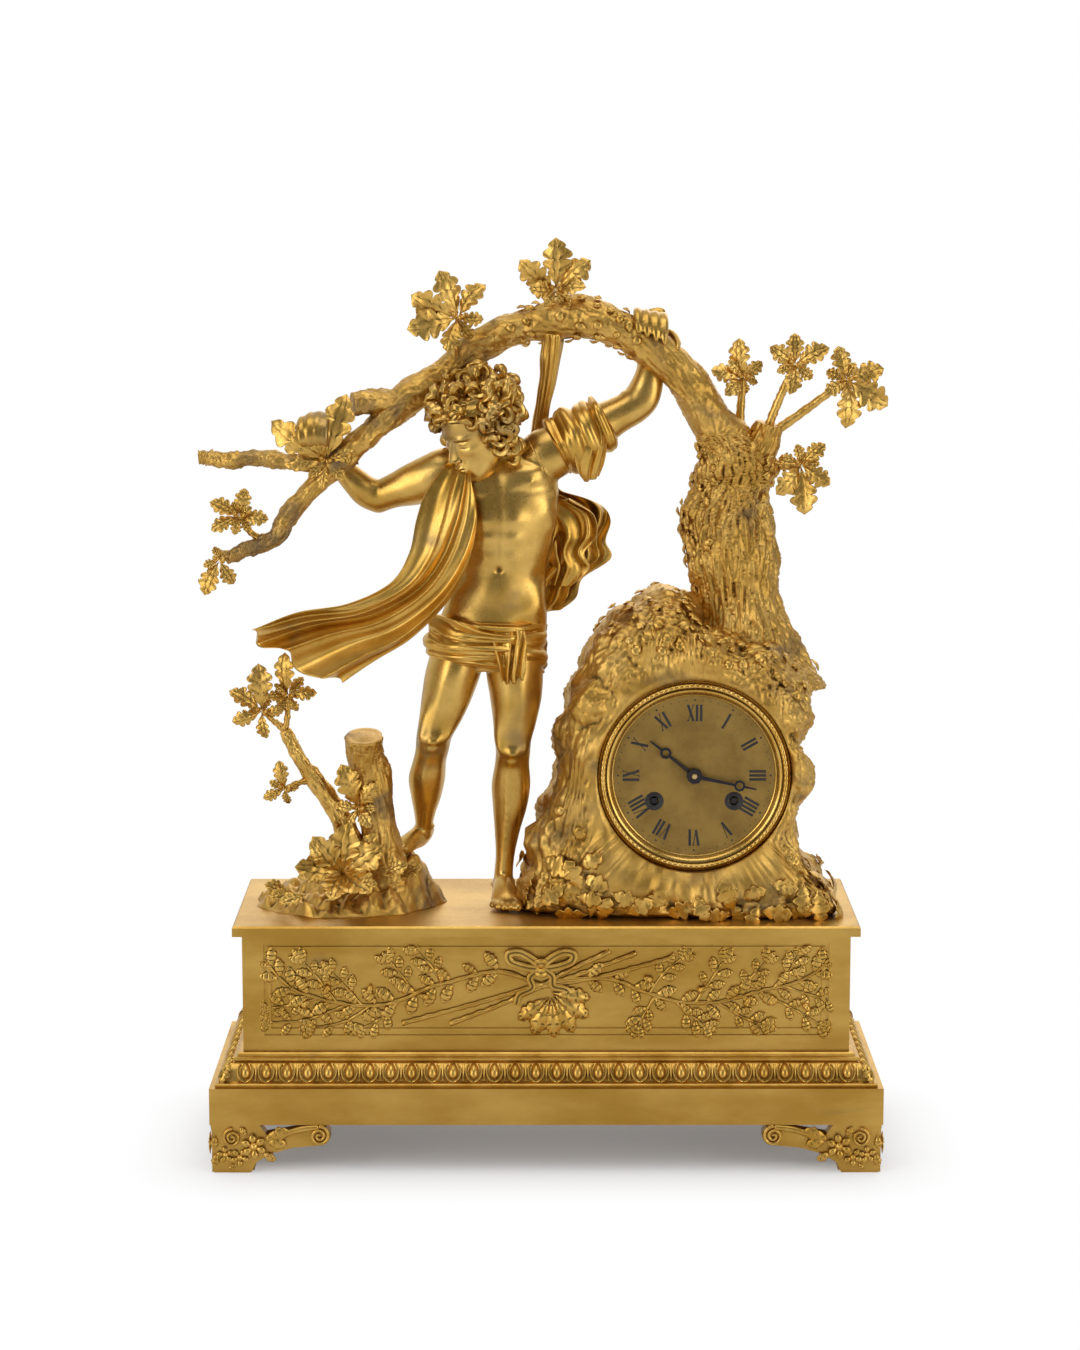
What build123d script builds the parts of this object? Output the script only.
"""A gilt-bronze figural mantel clock: a youth under an oak bough, beside a rock with the movement.

Millimetres, +Z up. The floor is z = 0, the clock's front faces -Y, and the origin is the middle of the base.
Each casting, sheet and movement piece is a solid of its own, and each is written to its own file.
"""

from build123d import *
import math
import os

os.makedirs("parts", exist_ok=True)

# Clearances and cutters
running_gap = 0.05
seat_gap = 0.2
air_gap = 0.6

# Base: four bracket feet, a plinth, an egg-and-dart moulding, a panelled box and a top slab
foot_height = 27.9
foot_wing = 67.0
foot_side_wing = 56.0
foot_thickness = 9.0
foot_inset = 1.0
foot_block = 19.0
scroll_radius = 5.8
plinth_side_step = 18.2
plinth_front_step = 17.0
plinth_height = 20.9
plinth_wall = 4.0
plinth_ledge = 24.0
moulding_height = 17.4
moulding_reach = 15.0
moulding_seat = 5.0
panel_width = 342.0
panel_depth = 112.0
panel_height = 67.3
panel_thickness = 3.0
field_side_margin = 12.0
field_top_margin = 5.0
field_foot_margin = 9.0
field_depth = 1.0
field_bead = 2.0
slab_side_step = 5.0
slab_front_step = 6.0
slab_thickness = 5.9
slab_chamfer = 1.0
rod_radius = 2.5
rod_inset = 14.0
nut_width = 9.0
nut_height = 4.0

# Oak relief on the front panel
relief_height = 2.6
relief_stem_width = 5.0
relief_reach_share = 0.374
relief_rise = 16.0
relief_leaf = 17.5
bow_width = 33.0
bow_ribbon = 5.0

# Dial, bezel and hands
dial_x = 83.4
bezel_radius = 54.4
bezel_lip = 45.6
bezel_height = 6.0
dial_radius = 46.8
dial_thickness = 1.2
dial_sill = 26.8
dial_seat_y = -35.0
winding_hole_radius = 4.7
winding_spread = 22.5
winding_drop = 14.7
hour_hand_length = 32.0
hour_ring_place = 20.7
minute_hand_length = 36.0
minute_ring_place = 26.0
hand_thickness = 0.8
hand_boss_radius = 4.5
hand_ring_radius = 3.3
hand_ring_eye = 2.0
hand_width = 2.4
hour_hand_angle = 308.5
minute_hand_angle = 102.0

# Rock and tree
rock_brow = 7.0
rock_back_y = 46.0
rock_front_y = -43.0
crown_height = 43.0
tree_offset = 27.0
tree_y = 8.0
bough_span_share = 0.971
twig_radius = 2.2
leaf_thickness = 1.6

# Mound with the sawn stump and the sapling
mound_x = -114.0
mound_width = 113.0
mound_depth = 84.0
mound_plate = 9.0
mound_height = 28.5

# Figure
figure_x = -22.3
figure_height = 309.0
cloth_thickness = 3.0
stud_radius = 2.5

# Movement
shaft_sides = 6
limb_sides = 8
bark_sides = 9
round_sides = 16
plate_sides = 32
face_sides = 44
drum_radius = 45.2
plate_radius = 43.0
plate_thickness = 1.5
plate_gap = 36.0
motion_room = 5.5
pillar_radius = 2.5
pillar_circle = 38.5
pillar_angles = (22, 66, 158, 270)
arbor_radius = 0.9
centre_radius = 1.2
cannon_radius = 1.6
pipe_radius = 2.6
winding_radius = 2.2
winding_square = 3.0
barrel_drum_radius = 13.0
barrel_length = 24.0
barrel_module = 0.9
barrel_teeth = 32
barrel_pinion_teeth = 8
train_module = 0.7
upper_module = 0.58
wheel_teeth = 30
train_pinion_teeth = 6
escape_module = 0.7
escape_teeth = 20
motion_module = 0.9
wheel_thickness = 1.2
pinion_length = 2.6
pallet_arbor_rise = 9.5
drum_gap = 7.0
great_wheel_gap = 5.0
front_wheel_gap = 2.4
rear_wheel_gap = 2.0
third_wheel_rise = 8.0
pin_wheel_rise = 14.0
escape_wheel_gap = 15.0
fly_gap = 3.0
disc_gap = 2.2
arbor_end = 2.4
crutch_gap = 1.2
pallet_lap = 0.6
hand_gap = 1.0
tip_rise = 0.8
motion_gap = 0.8
work_gap = 0.5
third_bearing = 100
count_bearing = 80
pin_bearing = 75
fly_bearing = 60
pendulum_length = 120.8
bob_radius = 16.0
bob_thickness = 7.0
pendulum_y = 14.0
bell_radius = 27.0
bell_depth = 15.0
bell_wall = 1.5
bell_y = 20.0
bell_side = 9.0
bell_drop = 6.0
bell_hole = 2.2
bell_nut = 2.0
hammer_radius = 3.0
hammer_gap = 1.0
hammer_bearing = 130
hammer_rise = 3.0
rear_radius = 50.0
rear_opening = 43.5
rear_thickness = 3.0
rear_seat_y = 43.0
door_thickness = 1.2
hinge_pin_radius = 1.0
hinge_length = 12.0
knuckle_radius = 2.4

# Sizes and levels that follow
plinth_width = panel_width + 2 * plinth_side_step
plinth_depth = panel_depth + 2 * plinth_front_step
slab_width = panel_width + 2 * slab_side_step
slab_depth = panel_depth + 2 * slab_front_step
relief_reach = relief_reach_share * panel_width
bough_span = bough_span_share * figure_height
plinth_top = foot_height + plinth_height
panel_foot = plinth_top + moulding_height
slab_bottom = panel_foot + panel_height
slab_top = slab_bottom + slab_thickness
dial_z = slab_top + dial_sill + bezel_radius
trunk_seat = dial_z + bezel_radius + rock_brow
mound_top = slab_top + mound_height
front_plate_y = dial_seat_y + motion_room
back_plate_y = front_plate_y + plate_thickness + plate_gap


# Helpers for castings that are drawn as sections along a line
def ring(place, direction, half_wide, half_deep, sides=12, across=(1, 0, 0), outline=None):
    """The corners of a section square to its direction. The outline's points are shares of the half sizes."""
    if outline is None:
        turns = [2 * math.pi * k / sides for k in range(sides)]
        outline = [(math.cos(t), math.sin(t)) for t in turns]
    plane = Plane(origin=place, x_dir=across, z_dir=direction)
    return [plane.from_local_coords((half_wide * u, half_deep * v, 0)) for u, v in outline]


def casting(sections, hollow=False):
    """A closed solid of flat facets through sections that have equal numbers of corners.

    It ends in a face at the first and the last section, or closes on itself where it is a hollow ring.
    """
    if hollow:
        sections = [*sections, sections[0]]
        facets = []
    else:
        facets = [Face(Wire.make_polygon(sections[0])), Face(Wire.make_polygon(sections[-1]))]
    for lower, upper in zip(sections, sections[1:]):
        for k in range(len(lower)):
            facets.append(Face(Wire.make_polygon([lower[k - 1], lower[k], upper[k]])))
            facets.append(Face(Wire.make_polygon([lower[k - 1], upper[k], upper[k - 1]])))
    return Solid(Shell(facets))


def along(points):
    """The direction of a line of points at each of them."""
    directions = []
    for k in range(len(points)):
        before = Vector(*points[max(k - 1, 0)])
        after = Vector(*points[min(k + 1, len(points) - 1)])
        directions.append((after - before).normalized())
    return directions


def rings(stations, sides=12, across=(0, 1, 0), outline=None):
    """Sections through stations of (place, half_wide, half_deep), each square to their line."""
    directions = along([place for place, wide, deep in stations])
    return [
        ring(place, direction, wide, deep, sides, across, outline)
        for (place, wide, deep), direction in zip(stations, directions)
    ]


def tree_point(share):
    """A place on the tree, from its shares of the bough's span."""
    sx, sy, sz = share
    return (
        dial_x + tree_offset + sx * bough_span,
        tree_y + sy * bough_span,
        trunk_seat + sz * bough_span,
    )


def tree_stations(table):
    """Stations of a branch, from shares of the bough's span: x, y, z and the radius."""
    return [(tree_point(row[:3]), row[3] * bough_span, row[-1] * bough_span) for row in table]


def body_point(share):
    """A place on the figure, from its shares of the figure's height."""
    sx, sy, sz = share
    return (figure_x + sx * figure_height, sy * figure_height, slab_top + sz * figure_height)


def body_stations(table, grow=0.0):
    """Stations of a limb, from shares of the figure's height, grown all round where cloth lies over it."""
    return [
        (body_point(row[:3]), row[3] * figure_height + grow, row[4] * figure_height + grow)
        for row in table
    ]


leaf_outline_shares = (
    (0.0, 0.05),
    (0.35, 0.30),
    (0.50, 0.16),
    (0.76, 0.31),
)


def leaf(base, tip, tilt=0.0):
    """A lobed oak leaf from its base to its tip, its face turned to the front and tilted."""
    reach = Vector(*tip) - Vector(*base)
    face = Vector(tilt, -1, 0.35 * tilt)
    face = (face - reach * (face.dot(reach) / reach.dot(reach))).normalized()
    outline = [(u * reach.length, v * reach.length) for u, v in leaf_outline_shares]
    other_side = [(u, -v) for u, v in reversed(outline)]
    with BuildSketch(Plane(origin=base, x_dir=reach.normalized(), z_dir=face)) as blade:
        with BuildLine():
            Polyline(*outline, (reach.length, 0), *other_side, close=True)
        make_face()
    return blade.sketch.faces()[0]


def twig(root, end):
    """Sections of a tapering twig."""
    thin = 0.6 * twig_radius
    return rings([(root, twig_radius, twig_radius), (end, thin, thin)], sides=5)


def turned(profile, middle, sides):
    """A ring of flat facets round the Y axis through a middle, from a closed profile of radius and Y."""
    x, z = middle
    return casting([ring((x, y, z), (0, 1, 0), radius, radius, sides) for radius, y in profile], hollow=True)


# Helpers for the movement, whose pieces are placed from the dial's centre
def facing(y, right=0.0, up=0.0):
    """A plane across the movement at y, facing the front, moved right and up from the dial's centre."""
    return Plane(origin=(dial_x + right, y, dial_z + up), x_dir=(1, 0, 0), z_dir=(0, -1, 0))


def meeting(first, second, first_reach, second_reach):
    """The point at two distances from two points, on the left of the line from the first to the second."""
    gap = math.dist(first, second)
    run = (first_reach**2 - second_reach**2 + gap**2) / (2 * gap)
    rise = math.sqrt(first_reach**2 - run**2)
    ux, uz = (second[0] - first[0]) / gap, (second[1] - first[1]) / gap
    return (first[0] + run * ux - rise * uz, first[1] + run * uz + rise * ux)


def bearing(first, second):
    """The direction from one arbor to another, in degrees from the right, turning up."""
    return math.degrees(math.atan2(second[1] - first[1], second[0] - first[0]))


addendum_share = 0.7
dedendum_share = 1.0


def teeth(count, module, tooth_at=0.0):
    """A wheel's toothed outline, with one tooth's tip at the angle tooth_at."""
    tip = module * (count / 2 + addendum_share)
    root = module * (count / 2 - dedendum_share)
    points = []
    for k in range(count):
        for reach, turn in ((tip, k), (root, k + 0.5)):
            angle = math.radians(tooth_at + 360 * turn / count)
            points.append((reach * math.cos(angle), reach * math.sin(angle)))
    Polygon(*points, align=None)


def shaft(radius, mode=Mode.ADD):
    """A shaft's section."""
    RegularPolygon(radius, shaft_sides, mode=mode)


def shaft_hole(radius, mode=Mode.SUBTRACT):
    """The hole that a shaft runs in."""
    RegularPolygon(radius + running_gap, shaft_sides, major_radius=False, mode=mode)


def gap_toward(count, angle):
    """The tooth angle that turns the gap between two teeth towards an angle."""
    return angle + 180 / count


# Feet: a scrolled bracket on each face of the corner, its arcs in a few flats
underside_steps = 4
scroll_steps = 5


def bracket_outline(wing):
    """A bracket's outline: the sole, an arched underside, the scroll at the wing's end and the top."""
    scroll_x = wing - scroll_radius
    scroll_z = foot_height - scroll_radius - air_gap
    sole_end = 0.33 * wing
    underside = []
    for k in range(underside_steps):
        turn = math.pi / 2 * k / underside_steps
        underside.append(
            (
                scroll_x - (scroll_x - sole_end) * math.cos(turn),
                (scroll_z - scroll_radius) * math.sin(turn),
            )
        )
    scroll = []
    for k in range(scroll_steps + 1):
        turn = math.pi * (k / scroll_steps - 0.5)
        scroll.append((scroll_x + scroll_radius * math.cos(turn), scroll_z + scroll_radius * math.sin(turn)))
    Polygon(
        *underside,
        *scroll,
        (0.46 * wing, 0.79 * foot_height),
        (0.40 * wing, foot_height),
        (0, foot_height),
        (0.03 * wing, 0.55 * foot_height),
        (0.02 * wing, 0),
        align=None,
    )


foot_corner_x = -plinth_width / 2 + foot_inset
foot_corner_y = -plinth_depth / 2 + foot_inset
front_bracket = Plane(origin=(foot_corner_x, foot_corner_y, 0), x_dir=(1, 0, 0), z_dir=(0, -1, 0))
side_bracket = Plane(origin=(foot_corner_x, foot_corner_y, 0), x_dir=(0, 1, 0), z_dir=(1, 0, 0))

with BuildPart() as left_front_foot:
    with BuildSketch(front_bracket):
        bracket_outline(foot_wing)
    extrude(amount=-foot_thickness)
    with BuildSketch(side_bracket):
        bracket_outline(foot_side_wing)
    extrude(amount=foot_thickness)
    with BuildSketch(Plane(origin=(foot_corner_x, foot_corner_y, 0), z_dir=(0, 0, 1))):
        with Locations((foot_thickness / 2, foot_thickness / 2)):
            Rectangle(foot_block, foot_block, align=Align.MIN)
    extrude(amount=foot_height)

with BuildPart() as front_feet:
    add(left_front_foot.part)
    mirror(about=Plane.YZ)
front_feet.part.label = "front_feet"
export_step(front_feet.part, "parts/front_feet.step")

with BuildPart() as back_feet:
    mirror(front_feet.part, about=Plane.XZ)
back_feet.part.label = "back_feet"
export_step(back_feet.part, "parts/back_feet.step")

# Plinth: a deep frame, hollow from below, with a ledge that the rods pull against
with BuildPart() as plinth:
    with BuildSketch(Plane.XY.offset(foot_height)):
        Rectangle(plinth_width, plinth_depth)
    extrude(amount=plinth_height)
    with BuildSketch(Plane.XY.offset(foot_height)):
        Rectangle(plinth_width - 2 * plinth_wall, plinth_depth - 2 * plinth_wall)
    extrude(amount=plinth_height - plinth_wall, mode=Mode.SUBTRACT)
    with BuildSketch(Plane.XY.offset(plinth_top)):
        Rectangle(panel_width - 2 * plinth_ledge, panel_depth - 2 * plinth_ledge)
    extrude(amount=-plinth_height, mode=Mode.SUBTRACT)
    rod_grid = (panel_width - 2 * rod_inset, panel_depth - 2 * rod_inset)
    with BuildSketch(Plane.XY.offset(plinth_top)):
        with GridLocations(*rod_grid, 2, 2):
            RegularPolygon(rod_radius + seat_gap, shaft_sides, major_radius=False)
    extrude(amount=-plinth_height, mode=Mode.SUBTRACT)
plinth.part.label = "plinth"
export_step(plinth.part, "parts/plinth.step")

# Egg-and-dart moulding: one profile carried round the foot of the panelled box
with BuildPart() as egg_and_dart_moulding:
    with BuildLine() as moulding_path:
        Polyline(
            (panel_width / 2, 0, plinth_top),
            (panel_width / 2, panel_depth / 2, plinth_top),
            (-panel_width / 2, panel_depth / 2, plinth_top),
            (-panel_width / 2, -panel_depth / 2, plinth_top),
            (panel_width / 2, -panel_depth / 2, plinth_top),
            close=True,
        )
    with BuildSketch(Plane(origin=(panel_width / 2, 0, plinth_top), x_dir=(1, 0, 0), z_dir=(0, -1, 0))):
        with BuildLine():
            Polyline(
                (0.14 * moulding_reach, 0.96 * moulding_height),
                (0.14 * moulding_reach, moulding_height),
                (-moulding_seat, moulding_height),
                (-moulding_seat, 0),
                (moulding_reach, 0),
                (moulding_reach, 0.14 * moulding_height),
                (0.78 * moulding_reach, 0.26 * moulding_height),
            )
            ThreePointArc(
                (0.78 * moulding_reach, 0.26 * moulding_height),
                (0.60 * moulding_reach, 0.68 * moulding_height),
                (0.14 * moulding_reach, 0.96 * moulding_height),
            )
        make_face()
    sweep(path=moulding_path.wire(), transition=Transition.RIGHT)
egg_and_dart_moulding.part.label = "egg_and_dart_moulding"
export_step(egg_and_dart_moulding.part, "parts/egg_and_dart_moulding.step")


# Panels: the front and the ends have a sunk field with a bead round it
def sunk_field(width, height):
    """A panel's sunk field, inside a groove and a bead."""
    Rectangle(width, height)
    Rectangle(width - 2 * field_bead, height - 2 * field_bead, mode=Mode.SUBTRACT)
    Rectangle(width - 4 * field_bead, height - 4 * field_bead)


panel_middle = panel_foot + panel_height / 2
field_lift = (field_foot_margin - field_top_margin) / 2
field_height = panel_height - field_top_margin - field_foot_margin
front_face = Plane(
    origin=(0, -panel_depth / 2, panel_middle + field_lift), x_dir=(1, 0, 0), z_dir=(0, -1, 0)
)
with BuildPart() as front_panel:
    with BuildSketch(Plane(origin=(0, -panel_depth / 2, panel_middle), x_dir=(1, 0, 0), z_dir=(0, -1, 0))):
        Rectangle(panel_width, panel_height)
    extrude(amount=-panel_thickness)
    with BuildSketch(front_face):
        sunk_field(panel_width - 2 * field_side_margin, field_height)
    extrude(amount=-field_depth, mode=Mode.SUBTRACT)
front_panel.part.label = "front_panel"
export_step(front_panel.part, "parts/front_panel.step")

with BuildPart() as back_panel:
    with BuildSketch(Plane(origin=(0, panel_depth / 2, panel_middle), x_dir=(-1, 0, 0), z_dir=(0, 1, 0))):
        Rectangle(panel_width, panel_height)
    extrude(amount=-panel_thickness)
back_panel.part.label = "back_panel"
export_step(back_panel.part, "parts/back_panel.step")

end_length = panel_depth - 2 * panel_thickness
with BuildPart() as left_end_panel:
    with BuildSketch(Plane(origin=(-panel_width / 2, 0, panel_middle), x_dir=(0, -1, 0), z_dir=(-1, 0, 0))):
        Rectangle(end_length, panel_height)
    extrude(amount=-panel_thickness)
    with BuildSketch(
        Plane(origin=(-panel_width / 2, 0, panel_middle + field_lift), x_dir=(0, -1, 0), z_dir=(-1, 0, 0))
    ):
        sunk_field(end_length - 2 * field_side_margin + 2 * panel_thickness, field_height)
    extrude(amount=-field_depth, mode=Mode.SUBTRACT)
with BuildPart() as end_panels:
    add(left_end_panel.part)
    mirror(about=Plane.YZ)
end_panels.part.label = "end_panels"
export_step(end_panels.part, "parts/end_panels.step")

# Top slab, with the slot that the pendulum swings in and the holes for the castings' studs
swing_room = 11.0
stud_places = (
    (mound_x, 0),
    (figure_x, 0),
    (dial_x - bezel_radius, 0),
    (dial_x + bezel_radius, 0),
)
with BuildPart() as top_slab:
    with BuildSketch(Plane.XY.offset(slab_bottom)):
        Rectangle(slab_width, slab_depth)
    extrude(amount=slab_thickness)
    chamfer(top_slab.faces().sort_by(Axis.Z)[-1].edges(), slab_chamfer)
    with BuildSketch(Plane.XY.offset(slab_bottom)):
        with Locations((dial_x, pendulum_y)):
            Rectangle(2 * (bob_radius + swing_room), bob_thickness + 6 * air_gap)
        with Locations(*stud_places):
            RegularPolygon(stud_radius + seat_gap, shaft_sides, major_radius=False)
    extrude(amount=slab_thickness, mode=Mode.SUBTRACT)
top_slab.part.label = "top_slab"
export_step(top_slab.part, "parts/top_slab.step")

# Rods that clamp the slab to the plinth, and studs that hold the castings down, each with its nut
rod_foot = plinth_top - plinth_wall - nut_height
with BuildPart() as base_fixings:
    with BuildSketch(Plane.XY.offset(rod_foot)):
        with GridLocations(*rod_grid, 2, 2):
            RegularPolygon(rod_radius, shaft_sides)
    extrude(amount=slab_bottom - rod_foot)
    with BuildSketch(Plane.XY.offset(rod_foot)):
        with GridLocations(*rod_grid, 2, 2):
            RegularPolygon(nut_width / 2, 6)
    extrude(amount=nut_height)
    with BuildSketch(Plane.XY.offset(slab_bottom - nut_height)):
        with Locations(*stud_places):
            RegularPolygon(stud_radius, shaft_sides)
    extrude(amount=nut_height + slab_thickness)
    with BuildSketch(Plane.XY.offset(slab_bottom - nut_height)):
        with Locations(*stud_places):
            RegularPolygon(nut_width / 2, 6)
    extrude(amount=nut_height)
base_fixings.part.label = "base_fixings"
export_step(base_fixings.part, "parts/base_fixings.step")

# Relief: two crossed oak branches tied with a ribbon bow, on the sunk field
relief_face = Plane(
    origin=(0, -panel_depth / 2 + field_depth, panel_middle + field_lift), x_dir=(1, 0, 0), z_dir=(0, -1, 0)
)
branch_shares = ((0.06, -0.30), (0.25, 0.10), (0.48, -0.30), (0.74, -0.42), (0.90, 0.05), (1.0, 0.75))
branch_leaf_shares = (
    (0.26, 0.55),
    (0.38, -0.75),
    (0.54, 0.62),
    (0.68, -1.15),
    (0.80, 0.70),
    (0.96, -0.55),
)


def relief_branch(side):
    """A stem of short straight runs with leaves at its joints, to one side of the knot."""
    places = [(side * u * relief_reach, v * relief_rise) for u, v in branch_shares]
    for start, end in zip(places, places[1:]):
        reach = math.dist(start, end)
        turn = math.degrees(math.atan2(end[1] - start[1], end[0] - start[0]))
        middle = ((start[0] + end[0]) / 2, (start[1] + end[1]) / 2)
        with Locations(Location((*middle, 0), (0, 0, turn))):
            Rectangle(reach + relief_stem_width / 2, relief_stem_width)
    for u, v in branch_leaf_shares:
        stem_v = relief_stem_height(u)
        turn = side * 55 if v > stem_v else -side * 55
        base_turn = 0 if side > 0 else 180
        outline = [(a * relief_leaf, b * relief_leaf) for a, b in leaf_outline_shares]
        other_side = [(a, -b) for a, b in reversed(outline)]
        place = (side * (u - 0.06) * relief_reach, stem_v * relief_rise)
        with Locations(Location((*place, 0), (0, 0, base_turn + turn))):
            Polygon(*outline, (relief_leaf, 0), *other_side, align=None)


def relief_stem_height(u):
    """The stem's height at a share of its reach."""
    for (u0, v0), (u1, v1) in zip(branch_shares, branch_shares[1:]):
        if u <= u1:
            return v0 + (v1 - v0) * (u - u0) / (u1 - u0)
    return branch_shares[-1][1]


def bow_loop(share, mode=Mode.ADD):
    """A loop of the bow, eight-sided, at a share of its full size."""
    turns = [2 * math.pi * (k + 0.5) / 8 for k in range(8)]
    points = [(share * bow_width / 4 * math.cos(t), share * bow_ribbon * math.sin(t)) for t in turns]
    Polygon(*points, align=None, mode=mode)


with BuildPart() as oak_relief:
    with BuildSketch(relief_face) as relief_pattern:
        for side in (-1, 1):
            relief_branch(side)
            with Locations((side * bow_width / 4, relief_rise)):
                bow_loop(1)
                bow_loop(0.5, Mode.SUBTRACT)
        with Locations((0, relief_rise / 4)):
            Rectangle(bow_ribbon, 2 * relief_rise)
    extrude(amount=relief_height)
oak_relief.part.label = "oak_relief"
export_step(oak_relief.part, "parts/oak_relief.step")

# Rock: rounded sections from the slab to the tree's seat, in shares of the bezel's radius
rock_outline_shares = (
    (1.0, 0.0),
    (0.97, 0.6),
    (0.75, 1.0),
    (0.2, 0.96),
    (-0.35, 1.0),
    (-0.86, 0.86),
    (-1.0, 0.25),
    (-0.96, -0.45),
    (-0.84, -0.92),
    (-0.4, -1.0),
    (0.45, -0.98),
    (0.92, -0.86),
)
# Rows: height between slab and seat, then the left and right reach, then the front and back reach
rock_shares = (
    (0.00, 1.80, 1.49, 1.00, 0.96),
    (0.07, 1.74, 1.42, 1.00, 1.00),
    (0.19, 1.69, 1.18, 0.93, 1.00),
    (0.38, 1.58, 1.09, 0.92, 0.98),
    (0.57, 1.43, 1.12, 0.93, 1.00),
    (0.75, 1.34, 1.20, 0.92, 0.98),
    (0.91, 1.23, 1.24, 0.90, 0.96),
    (1.00, 1.12, 1.00, 0.84, 0.90),
)
crown_shares = (
    (-0.10, -0.55, 0.56, 0.80, 0.85),
    (0.35, -0.52, 0.52, 0.70, 0.72),
    (0.70, -0.42, 0.43, 0.50, 0.52),
    (0.90, -0.32, 0.30, 0.34, 0.36),
    (1.00, -0.28, 0.16, 0.20, 0.20),
)
rock_height = trunk_seat - slab_top
pendulum_z = dial_z + (24 + 10.5) * upper_module
with BuildPart() as rock_case:
    sections = []
    for level, left, right, front, back in rock_shares:
        middle_x = dial_x + bezel_radius * (right - left) / 2
        middle_y = (rock_front_y * front + rock_back_y * back) / 2
        half_wide = bezel_radius * (left + right) / 2
        half_deep = (rock_back_y * back - rock_front_y * front) / 2
        place = (middle_x, middle_y, slab_top + level * rock_height)
        sections.append(ring(place, (0, 0, 1), half_wide, half_deep, outline=rock_outline_shares))
    add(casting(sections))
    crown = []
    for level, middle, half, front, back in crown_shares:
        middle_y = (rock_front_y * front + rock_back_y * back) / 2
        half_deep = (rock_back_y * back - rock_front_y * front) / 2
        place = (dial_x + middle * bezel_radius, middle_y, trunk_seat + level * crown_height)
        crown.append(ring(place, (0, 0, 1), half * bezel_radius, half_deep, outline=rock_outline_shares))
    add(casting(crown))
    with BuildSketch(facing(dial_seat_y)):
        RegularPolygon(bezel_radius + seat_gap, face_sides, major_radius=False)
    extrude(amount=bezel_radius, mode=Mode.SUBTRACT)
    with BuildSketch(facing(rear_seat_y)):
        RegularPolygon(rear_radius + seat_gap, plate_sides, major_radius=False)
    extrude(amount=-bezel_radius, mode=Mode.SUBTRACT)
    with BuildSketch(facing(dial_seat_y)):
        RegularPolygon(drum_radius, plate_sides)
    extrude(amount=dial_seat_y - rear_seat_y, mode=Mode.SUBTRACT)
    with BuildSketch(Plane.XY.offset(slab_top)):
        with Locations((dial_x, pendulum_y)):
            Rectangle(2 * (bob_radius + swing_room), bob_thickness + 6 * air_gap)
    extrude(amount=dial_z - slab_top, mode=Mode.SUBTRACT)
rock_case.part.label = "rock_case"
export_step(rock_case.part, "parts/rock_case.step")

# Tree: trunk with a sawn limb, and the bough that arches over the figure
trunk_shares = (
    (0.000, 0.000, 0.000, 0.083, 0.088),
    (-0.006, 0.000, 0.093, 0.073, 0.077),
    (-0.013, 0.003, 0.183, 0.073, 0.082),
    (-0.018, 0.007, 0.260, 0.070, 0.080),
    (-0.011, 0.007, 0.317, 0.063, 0.068),
    (-0.003, 0.003, 0.357, 0.064, 0.074),
)
sawn_limb_shares = (
    (0.015, -0.005, 0.345, 0.034),
    (0.042, -0.013, 0.400, 0.027),
    (0.054, -0.017, 0.447, 0.027),
)
bough_shares = (
    (-0.024, 0.000, 0.400, 0.057),
    (-0.055, -0.007, 0.452, 0.039),
    (-0.097, -0.010, 0.518, 0.035),
    (-0.164, -0.013, 0.584, 0.033),
    (-0.230, -0.008, 0.622, 0.033),
    (-0.305, 0.004, 0.644, 0.038),
    (-0.380, 0.016, 0.635, 0.033),
    (-0.445, 0.024, 0.613, 0.030),
    (-0.511, 0.025, 0.580, 0.029),
    (-0.567, 0.012, 0.530, 0.029),
    (-0.632, -0.022, 0.490, 0.031),
    (-0.683, -0.050, 0.447, 0.023),
    (-0.735, -0.057, 0.400, 0.023),
    (-0.792, -0.063, 0.344, 0.021),
    (-0.849, -0.067, 0.278, 0.019),
    (-0.878, -0.067, 0.234, 0.017),
    (-0.935, -0.067, 0.212, 0.013),
    (-0.973, -0.067, 0.193, 0.009),
)
fork_shares = (
    (-0.730, -0.057, 0.382, 0.016),
    (-0.785, -0.067, 0.375, 0.017),
    (-0.848, -0.073, 0.378, 0.015),
    (-0.922, -0.073, 0.386, 0.013),
    (-0.988, -0.073, 0.382, 0.011),
    (-1.021, -0.073, 0.386, 0.010),
)
sawn_twig_shares = (
    (-0.640, -0.027, 0.480, 0.022),
    (-0.685, -0.050, 0.490, 0.023),
    (-0.731, -0.064, 0.485, 0.021),
)
bough_rings = rings(tree_stations(bough_shares), bark_sides)
with BuildPart() as tree_trunk:
    trunk_sections = [
        ring(place, (0, 0, 1), wide, deep, bark_sides, across=(0, 1, 0))
        for place, wide, deep in tree_stations(trunk_shares)
    ]
    add(casting([*trunk_sections, bough_rings[0]]))
    add(casting(rings(tree_stations(sawn_limb_shares), limb_sides)))
tree_trunk.part.label = "tree_trunk"
export_step(tree_trunk.part, "parts/tree_trunk.step")

with BuildPart() as bough:
    add(casting(bough_rings))
    add(casting(rings(tree_stations(fork_shares), limb_sides)))
    add(casting(rings(tree_stations(sawn_twig_shares), limb_sides)))
    add(tree_trunk.part, mode=Mode.SUBTRACT)
bough.part.label = "bough"
export_step(bough.part, "parts/bough.step")

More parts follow.
